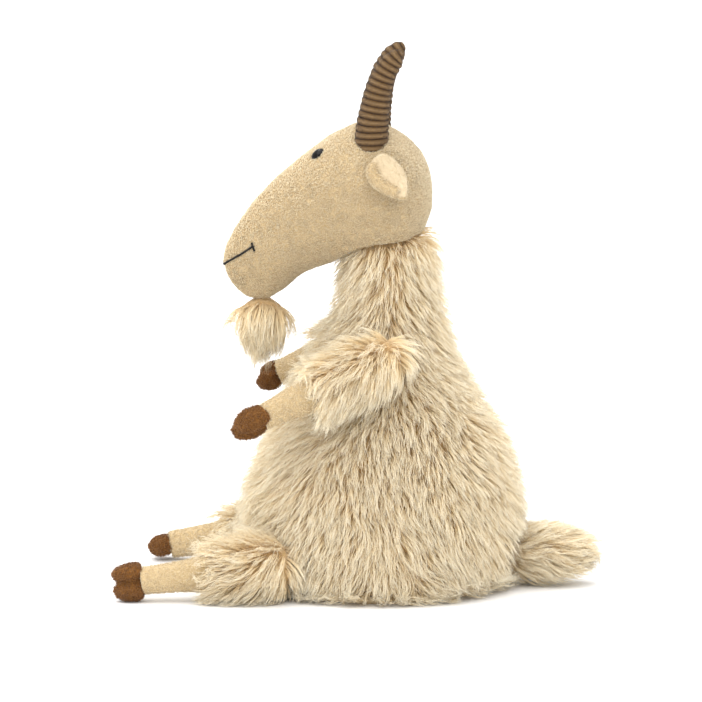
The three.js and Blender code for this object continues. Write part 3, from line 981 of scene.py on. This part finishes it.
def lower_limb(side, limb, lower, seed):
    """The short pile forearm or shin."""
    key, skin, body, axis = limb_part(side, limb, lower)
    co = skin.co + skin.normals * (0.2 * MM * noise_at(skin.co, 1.1 * MM))[:, None]
    co = drawn_out(co, axis, LOWER_TUCK, LOWER_REACH)
    show(key + "_plush", co, skin.faces, PLUSH, body, (key,))
    grow_nap(
        key + "_nap", Skin(co, skin.faces), body, NAP, seed=seed, count=4200,
        length=1.3 * MM, width=0.4 * MM, comb=tuple(axis), density=uncapped(axis), lean=0.6,
    )


ARM_HOOF_SKEW = 0.5
# How much longer and wider each hoof is sewn than its CAD solid.
HOOF_SIZE = {
    ("left", "arm"): (1.18, 0.86), ("right", "arm"): (0.8, 0.74),
    ("left", "leg"): (1.14, 0.98), ("right", "leg"): (0.85, 0.8),
}


def hoof(side, limb, seed):
    """A two-lobed hoof of curly brown plush."""
    key, skin, body, axis = limb_part(side, limb, "hoof")
    relief = 0.22 * MM * noise_at(skin.co, 1.1 * MM) + 0.2 * MM * noise_at(skin.co, 2.6 * MM, 3.0)
    co = skin.co + skin.normals * relief[:, None]
    along, across = HOOF_SIZE[side, limb]
    reach = co @ axis
    rest = co - np.outer(reach, axis)
    middle_line = rest.mean(0)
    reach = reach.min() + (reach - reach.min()) * along
    co = middle_line + (rest - middle_line) * across + np.outer(reach, axis)
    co = drawn_out(co, axis, HOOF_TUCK, 0.0)
    if limb == "arm":
        outward = 1.0 if side == "left" else -1.0
        co = co - axis * ((co[:, 0] - co[:, 0].mean()) * outward * ARM_HOOF_SKEW)[:, None]
    show(key + "_plush", co, skin.faces, HOOF, body, (key,))
    grow_nap(
        key + "_nap", Skin(co, skin.faces), body, HOOF_NAP, seed=seed, count=3000,
        length=1.5 * MM, width=0.34 * MM, comb=tuple(axis), lean=0.5, curl=0.45, steps=4,
    )


def limb_parts():
    """Both arms and both legs."""
    for number, (side, limb, cover, lower) in enumerate(LIMBS):
        sleeve(side, limb, cover, 100 + number)
        lower_limb(side, limb, lower, 110 + number)
        hoof(side, limb, 120 + number)


def tail():
    """The fur stub of a tail."""
    co = drawn_out(TAIL_SKIN.co, np.array([0.0, 1.0, 0.0]), TAIL_TUCK, 0.0)
    show("tail_backing", co, TAIL_SKIN.faces, BACKING, "tail", ("tail_fur_cover",))
    bare = outside([TORSO_SKIN], BARE_GAP)

    def comb(point):
        return (point.x * 30, 1.0, (point.z - 0.019) * 25)

    grow_coat(
        "tail_fur", Skin(co, TAIL_SKIN.faces), "tail", seed=31, locks=600, per_lock=7,
        length=19 * MM, width=0.34 * MM, comb=comb, lift=(46, 10), density=bare, clump=0.62,
    )


BEARD_TUCK = 1.5 * MM  # how far its root is sewn into the chin
BEARD_SHOULDER = 12 * MM  # the part of the root that is wider than the CAD solid
BEARD_ROOT_WIDENING = 0.5
BEARD_CORE = 0.72  # height of the tuft's core beside its CAD solid


def beard():
    """The chin tuft: a small root with a long fringe."""
    co, faces = subdivided(*PADDED["beard"], 1)
    top = co[co[:, 2].argmax()]
    chin = HEAD_SKIN.tree.ray_cast(Vector(top), Vector((0, 0, 1)))[0]
    co[:, 2] = chin.z + BEARD_TUCK - (top[2] - co[:, 2]) * BEARD_CORE
    near_chin = np.clip(1 - (co[:, 2].max() - co[:, 2]) / BEARD_SHOULDER, 0, 1)[:, None]
    co[:, :2] += (co[:, :2] - top[:2]) * near_chin * BEARD_ROOT_WIDENING
    skin = Skin(co, faces)
    show("beard_backing", co, faces, BACKING, "beard", ("beard",))
    centre = (co.min(0) + co.max(0)) / 2

    def comb(point):
        return ((point.x - centre[0]) * 16, (point.y - centre[1]) * 16, -1.0)

    grow_coat(
        "beard_fur", skin, "beard", seed=41, locks=360, per_lock=7,
        length=22 * MM, width=0.3 * MM, comb=comb, lift=(44, 6), tangle=0.6, clump=0.6, frizz=1.0 * MM,
        density=lambda centres, normals: np.where(normals[:, 2] > 0.5, 0.0, 1.0),
    )


HORN_TIP = 6.5 * MM  # the rounded end
HORN_AROUND = 72
HORN_OUTSIDE = 12 * MM  # farther from a horn's middle line than its surface
HORN_ROOT_CLEAR = 12 * MM  # height above its lowest point from which rays find both of its sides
HEAD_DEPTH = 0.2
WALE_PITCH = 3.5 * MM
WALE_DEPTH = 1.0 * MM
WALE_WOBBLE = 0.25 * MM


def horn_line(tree, x, low, high):
    """A horn's middle line from its root inside the head to its tip, by rays from front and back."""
    places = []
    for z in np.linspace(low.z + HORN_ROOT_CLEAR, high.z - 4 * MM, 9):
        front = tree.ray_cast(Vector((x, -HEAD_DEPTH, z)), Vector((0, 1, 0)))[0]
        back = tree.ray_cast(Vector((x, HEAD_DEPTH, z)), Vector((0, -1, 0)))[0]
        places.append((x, (front.y + back.y) / 2, z))
    root = (x, places[0][1], low.z - 1 * MM)
    tip = (x, high.y - 3.0 * MM, high.z - 1.6 * MM)
    line, at = resampled(np.array([root, *places, tip]), 0.35 * MM)
    return evened(line, 60), at


def horn_radii(tree, line, rays):
    """How far the CAD horn's surface lies from its middle line along each ray."""
    radii = np.full(rays.shape[:2], np.nan)
    for row, k in np.ndindex(radii.shape):
        ray = Vector(rays[row, k])
        hit = tree.ray_cast(Vector(line[row]) + ray * HORN_OUTSIDE, -ray, HORN_OUTSIDE)
        if hit[0] is not None:
            radii[row, k] = HORN_OUTSIDE - hit[3]
    for column in radii.T:
        known = np.flatnonzero(~np.isnan(column))
        column[:] = np.interp(np.arange(len(line)), known, column[known])
    for _ in range(8):
        radii = evened((np.roll(radii, 1, 1) + radii * 2 + np.roll(radii, -1, 1)) / 4, 1)
    return radii


def horn_map(co, tri, at):
    """A map with U round the horn and V along it, for each face corner."""
    v = np.append(np.repeat(at / at[-1], HORN_AROUND), [0.0, 1.0])
    u = np.append(np.tile(np.arange(HORN_AROUND) / HORN_AROUND, len(at)), [0.5, 0.5])
    corner_u = u[tri]
    over_seam = (corner_u.max(1) - corner_u.min(1) > 0.5)[:, None] & (corner_u < 0.5)
    corner_u = np.where(over_seam, corner_u + 1, corner_u)
    return np.stack([corner_u, v[tri]], axis=-1).reshape(-1, 2) * MAP_MARGIN


def horn(side, seed):
    """A curved horn of corduroy, with the wales running round it as rings."""
    node = f"horn_{side}_cover"
    low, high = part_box(node)
    tree = Skin(*cad_solid((node,))).tree
    line, at = horn_line(tree, (low.x + high.x) / 2, low, high)
    sideways = np.array([[1.0, 0.0, 0.0]])
    rays = hoops(HORN_AROUND, sideways, np.cross(sideways, unit(np.gradient(line, axis=0))))
    radii = horn_radii(tree, line, rays)
    left = np.clip((at[-1] - at) / HORN_TIP, 0, 1)
    plain = radii[np.searchsorted(-left, -0.999) - 1].mean()
    radii = radii * left[:, None] ** 0.5 + plain * (1 - left[:, None] ** 0.5)
    radii *= np.sqrt(1 - (1 - left) ** 2)[:, None] * 0.98 + 0.02
    wobble = WALE_WOBBLE * np.sin(full_turn(HORN_AROUND) * 2 + at[:, None] * 90)
    phase = (at[:, None] + wobble) / WALE_PITCH * math.pi
    smooth = (line[:, None] + rays * radii[:, :, None]).reshape(-1, 3)
    worn = 0.85 + 0.8 * noise_at(smooth, 3.0 * MM, seed).reshape(radii.shape)
    ridge = np.abs(np.sin(phase)) ** 0.55 - 0.75
    radii += WALE_DEPTH * worn * ridge * np.clip(radii / (5 * MM), 0, 1)
    co, tri = closed_tube(line[:, None] + rays * radii[:, :, None], line[[0, -1]])
    corduroy = corduroy_material(f"corduroy_{side}", float(at[-1]) / WALE_PITCH)
    show(
        f"{side}_horn_corduroy", co, tri, corduroy, "head", (node,),
        horn_map(co, tri, at),
    )
    grow_nap(
        f"{side}_horn_nap", Skin(co, tri), "head", HORN_NAP, seed=seed, count=14000,
        length=1.35 * MM, width=0.3 * MM, comb=(0.0, 0.1, 0.3), lean=0.5,
    )


EAR_TRIM = 0.28
EAR_ROLL = 3.7 * MM
EAR_SLICE = 3.5 * MM  # leaf points this close to a level are looked at for its front edge


def ear_frame(side):
    """An ear leaf's centre, and its directions away from the head, to its tip and to its front edge."""
    co = cad_solid((f"ear_{side}_outer",))[0]
    centre = co.mean(0)
    _, axes = np.linalg.eigh(np.cov((co - centre).T))
    facing = axes[:, 0] * math.copysign(1.0, axes[0, 0] * (1 if side == "left" else -1))
    along = axes[:, 2] * math.copysign(1.0, -axes[2, 2])
    across = np.cross(facing, along)
    return centre, facing, along, across * math.copysign(1.0, -across[1] - across[2])


def trimmed_leaf(co, side):
    """An ear with its upper back edge drawn in, which leaves it straighter there."""
    centre, _, _, across = ear_frame(side)
    wide = (co - centre) @ across
    return co - np.outer(np.minimum(wide, 0) * EAR_TRIM, across)


def ear_roll(co, side):
    """The turned-up front edge of an ear: a tapered tube along the lower front edge of the leaf."""
    centre, facing, along, across = ear_frame(side)
    far = (co - centre) @ along
    wide = (co - centre) @ across
    route, radii = [], []
    for share in np.linspace(0.08, 0.92, 16):
        level = far.min() + (far.max() - far.min()) * share
        near = np.abs(far - level) < EAR_SLICE
        edge = co[near][wide[near].argmax()]
        size = EAR_ROLL * (1 - share) ** 0.15 * min(1.0, 0.5 + share * 2.2)
        route.append(edge - across * size * 0.75 + facing * size * 0.55)
        radii.append(size)
    route = evened(np.array(route), 3)
    heading = unit(np.gradient(route, axis=0))
    aside = unit(np.cross(heading, facing))
    rings = route[:, None] + hoops(14, aside, np.cross(aside, heading)) * np.array(radii)[:, None, None]
    ends = heading[[0, -1]] * np.array([[-radii[0]], [radii[-1]]]) * 0.5
    return closed_tube(rings, route[[0, -1]] + ends)


def ear(side, seed):
    """A leaf ear: a smooth outer face, and a lining of textured pile that turns up over its front edge."""
    body = f"{side}_ear"
    for part, slot, material in (("outer", "ear_velour", VELOUR), ("lining", "ear_lining", PLUSH)):
        node = f"ear_{side}_{part}"
        solid, tri = cad_solid((node,), 0.2 * MM)
        if part == "lining":
            roll = ear_roll(cad_solid((f"ear_{side}_outer",))[0], side)
            solid, tri = joined([(solid, tri), roll])
        solid = trimmed_leaf(solid, side)
        co, faces = remeshed(solid, tri, 0.5 * MM)
        co = smoothed(co, faces, 10)
        co = co + vertex_normals(co, split_quads(faces)) * (0.08 * MM * noise_at(co, 1.2 * MM))[:, None]
        show(f"{side}_ear_{part}_leaf", co, faces, material, body, (node,))
        if part == "lining":
            grow_nap(
                f"{side}_ear_lining_nap", Skin(co, faces), body, NAP, seed=seed, count=3600,
                length=1.5 * MM, width=0.34 * MM, comb=(0.0, 0.4, -0.6), lean=0.6, curl=0.3, steps=3,
            )
        else:
            grow_nap(
                f"{side}_ear_outer_nap", Skin(co, faces), body, NAP, seed=seed + 1, count=2600,
                length=0.8 * MM, width=0.22 * MM, comb=(0.0, 0.4, -0.6),
            )


def lathe(profile, around, origin, axis, stretch):
    """A closed turned shape: profile is (radius, height) from the bottom pole to the top pole.
    stretch makes it longer in the direction that lies square to both the axis and the X axis."""
    up = axis.normalized()
    aside = up.cross(Vector((1, 0, 0))).normalized()
    across = np.array(up.cross(aside))[None]
    radii, heights = np.array(profile).T
    middles = np.array(origin) + np.outer(heights, up)
    rings = hoops(around, np.array(aside)[None] * stretch, across) * radii[1:-1, None, None]
    co, tri = closed_tube(middles[1:-1, None] + rings, middles[[0, -1]])
    a, b, c = (co[tri[:, k]] - co[-1] for k in range(3))
    if (np.cross(a, b) * c).sum() < 0:
        tri = tri[:, ::-1]
    return co, tri


EYE_RADIUS = 3.3 * MM
EYE_HEIGHT = 2.5 * MM
EYE_SINK = 0.3 * MM
EYE_STRETCH = 1.25
SHANK_RADIUS = 1.1 * MM
SHANK_LENGTH = 3.6 * MM
SHANK_RIBS = 5
SHANK_RIB_PITCH = 0.5 * MM


def eye(side):
    """A glossy safety eye: a dome on a ribbed shank."""
    node = f"eye_{side}"
    near, normal, _, _ = HEAD_SKIN.tree.find_nearest(middle(node))
    profile = [(0, -SHANK_LENGTH), (SHANK_RADIUS * 0.7, -SHANK_LENGTH)]
    for k in range(SHANK_RIBS):
        rib = SHANK_RIB_PITCH * k - SHANK_LENGTH
        profile += [(SHANK_RADIUS, rib + 0.35 * MM), (SHANK_RADIUS * 0.8, rib + 0.6 * MM)]
    profile += [(SHANK_RADIUS, -0.6 * MM), (EYE_RADIUS * 0.8, -0.5 * MM), (EYE_RADIUS * 0.98, -0.25 * MM)]
    profile += [(EYE_RADIUS * math.cos(a), EYE_HEIGHT * math.sin(a)) for a in np.linspace(0.0, 1.5, 16)]
    profile.append((0, EYE_HEIGHT))
    co, tri = lathe(profile, 48, near - normal * EYE_SINK, normal, EYE_STRETCH)
    show(f"{side}_eye_dome", co, tri, EYE, "head", (node,))
    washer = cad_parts[f"eye_washer_{side}"]
    washer.data.materials.clear()
    washer.data.materials.append(NYLON)


PLY_RADIUS = 0.4 * MM
PLY_TWIST = 1.9 * MM  # thread length for one full twist
THREAD_LIFT = 0.65 * MM


def twisted_thread(route):
    """Two plies wound round a route that is laid on the head."""
    laid = []
    for point in route.tolist():
        near, normal, _, _ = HEAD_SKIN.tree.find_nearest(Vector(point))
        laid.append(near + normal * THREAD_LIFT)
    line, at = resampled(np.array([list(p) for p in laid]), 0.2 * MM)
    heading = unit(np.gradient(line, axis=0))
    aside = unit(np.cross(heading, np.array([0.0, 0.3, 1.0])))
    across = np.cross(heading, aside)
    plies = []
    for start in (0, math.pi):
        phase = (at / PLY_TWIST * 2 * math.pi + start)[:, None]
        centre = line + (aside * np.cos(phase) + across * np.sin(phase)) * PLY_RADIUS * 0.8
        rings = centre[:, None] + hoops(8, aside, across) * PLY_RADIUS
        plies.append(closed_tube(rings, centre[[0, -1]]))
    return joined(plies)


def mouth():
    """The stitched mouth: twisted thread laid on the muzzle, with a short cross stitch at each corner."""
    route = mouth_line()
    co, tri = joined([twisted_thread(path) for path in (route, *corner_bars(route))])
    show("mouth_stitch", co, tri, THREAD, "head", ("mouth_thread",))


def underside():
    """The flat cloth that closes the body below."""
    co, faces = remeshed(*cad_solid(("base_panel",), 0.2 * MM), 1.2 * MM)
    co = smoothed(co, faces, 3)
    co[:, 2] = np.maximum(co[:, 2], 0.0) + 0.05 * MM
    show("base_cloth", co, faces, WOVEN, "torso", ("base_panel",))


def filling(piece, node, body, voxel, inset, grain, material=WADDING):
    """What is inside a cover, a little smaller than its CAD solid. The three sizes are millimetres."""
    co, faces = remeshed(*cad_solid((node,)), voxel * MM)
    co = smoothed(co, faces, 2)
    normals = vertex_normals(co, split_quads(faces))
    co = co - normals * (inset * MM * (0.6 + 0.4 * noise_at(co, grain * MM)))[:, None]
    show(piece, co, faces, material, body, (node,))


def fillings():
    """All that is inside the covers."""
    filling("torso_filling", "torso_stuffing", "torso", 3.5, 0.9, 9)
    filling("bean_bag_cover", "bean_bag", "torso", 1.8, 0.7, 3.2, BEAN_CLOTH)
    filling("head_filling", "head_stuffing", "head", 3.0, 2.0, 8)
    filling("tail_filling", "tail_stuffing", "tail", 1.6, 0.5, 5)
    for side in SIDES:
        filling(f"{side}_horn_filling", f"horn_{side}_stuffing", "head", 1.4, 0.9, 5)
        for limb in (f"{side}_arm", f"{side}_leg"):
            filling(limb + "_filling", limb + "_stuffing", limb, 1.6, 0.6, 6)


torso()
head()
limb_parts()
tail()
beard()
for number, side in enumerate(SIDES):
    horn(side, 51 + number)
    ear(side, 61 + number * 10)
    eye(side)
mouth()
underside()
fillings()


# --------------------------------------------------------- camera and lights


FLOOR_REACH = 8.0
FLOOR_GREY = (0.93, 0.925, 0.92, 1)
SKY_POWER = 2.5
SKY_ANGLE = 75  # degrees across, which makes its shadows soft
SKY_DIRECTION = Vector((-0.3, 0.12, -1.0))
LAMP_TARGET = Vector((0, 0, 0.12))
CAMERA_AZIMUTH = math.radians(92.7)
CAMERA_ELEVATION = math.radians(10.5)
CAMERA_DISTANCE = 3.5
CAMERA_TARGET = Vector((0, -0.002, 0.128))
LENS = 332.0


def stand(label, data, place, facing):
    """Puts a lamp or the camera at place, looking along facing."""
    made = bpy.data.objects.new(label, data)
    bpy.context.scene.collection.objects.link(made)
    made.location = place
    made.rotation_mode = "QUATERNION"
    made.rotation_quaternion = facing.to_track_quat("-Z", "Y")
    return made


def soft_box(label, place, size, power):
    """A square lamp that faces the goat."""
    lamp = bpy.data.lights.new(label, "AREA")
    lamp.size = size
    lamp.energy = power
    stand(label, lamp, place, LAMP_TARGET - place)


def studio():
    """Pale floor, white surround, soft lamps, and the camera."""
    scene = bpy.context.scene
    scene.view_settings.view_transform = "Standard"
    world = bpy.data.worlds.new("white_surround")
    world.use_nodes = True
    surround = world.node_tree.nodes["Background"]
    surround.inputs["Color"].default_value = WHITE
    surround.inputs["Strength"].default_value = 1.0
    scene.world = world

    paper = Finish("studio_floor")
    paper.settings({"Base Color": FLOOR_GREY, "Roughness": 0.9, "Specular IOR Level": 0.1})
    corners = np.array([[-1, -1, 0], [1, -1, 0], [1, 1, 0], [-1, 1, 0]]) * FLOOR_REACH
    mesh_object("studio_floor", corners, np.array([[0, 1, 2, 3]]), paper.material)

    sky = bpy.data.lights.new("sky_panel", "SUN")
    sky.energy = SKY_POWER
    sky.angle = math.radians(SKY_ANGLE)
    stand("sky_panel", sky, (0, 0, 0), SKY_DIRECTION)
    soft_box("key_box", Vector((1.6, -0.9, 1.5)), 0.9, 1.5)
    soft_box("sparkle", Vector((-0.84, -0.6, 1.84)), 0.4, 8.0)

    back = Vector((
        math.sin(CAMERA_AZIMUTH) * math.cos(CAMERA_ELEVATION),
        -math.cos(CAMERA_AZIMUTH) * math.cos(CAMERA_ELEVATION),
        math.sin(CAMERA_ELEVATION),
    ))
    data = bpy.data.cameras.new("camera")
    data.sensor_width = 36.0
    data.lens = LENS
    scene.camera = stand("camera", data, CAMERA_TARGET + back * CAMERA_DISTANCE, -back)


studio()
